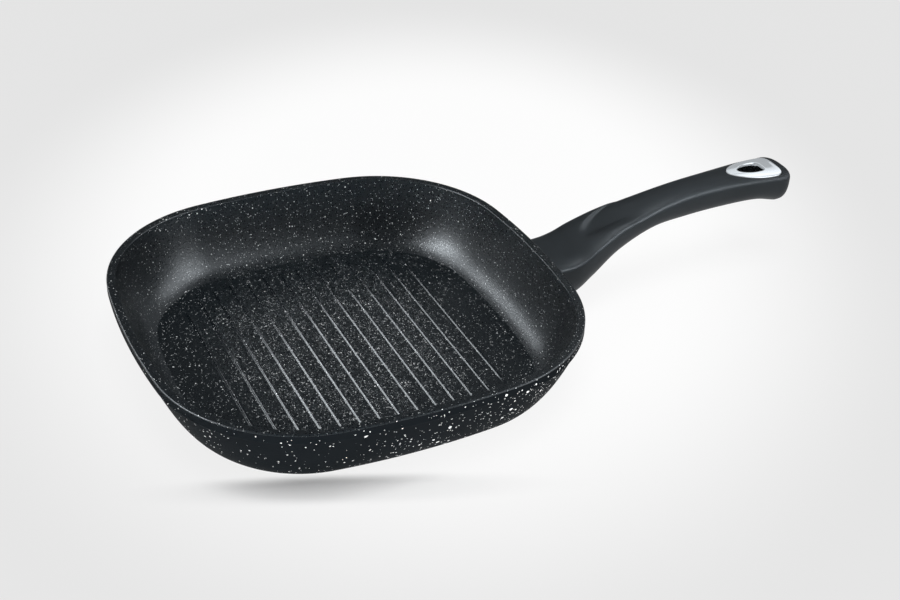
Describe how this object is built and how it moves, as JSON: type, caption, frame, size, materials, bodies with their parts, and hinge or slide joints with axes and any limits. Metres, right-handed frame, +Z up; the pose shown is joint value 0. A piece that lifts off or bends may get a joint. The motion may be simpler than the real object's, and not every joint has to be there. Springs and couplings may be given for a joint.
{
  "type": "grill pan",
  "caption": "Square grill pan with bowed sides, a speckled dark coating, a ribbed floor, a steel base disc and a curved handle with a bright-lined hang hole.",
  "frame": {"origin": "centre of the bowl on the plane that the pan stands on, the underside of the base disc", "axes": "+X along the handle, away from the bowl; +Z up, out of the bowl's mouth; +Y across, along the ribs"},
  "size_m": [0.4428, 0.26, 0.0714],
  "materials": {
    "coated_aluminium": "satin dark non-stick coating with pale stone speckle",
    "disc_steel": "turned ferritic stainless steel",
    "soft_touch": "moulded phenolic with a matt soft-touch skin",
    "bright_chrome": "mirror chrome",
    "screw_steel": "zinc-plated steel"
  },
  "bodies": {
    "root": {"pan_body": "coated_aluminium", "induction_disc": "disc_steel", "handle_grip": "soft_touch", "hang_trim": "bright_chrome", "handle_screw": "screw_steel", "lock_washer": "screw_steel"}
  },
  "joints": []
}
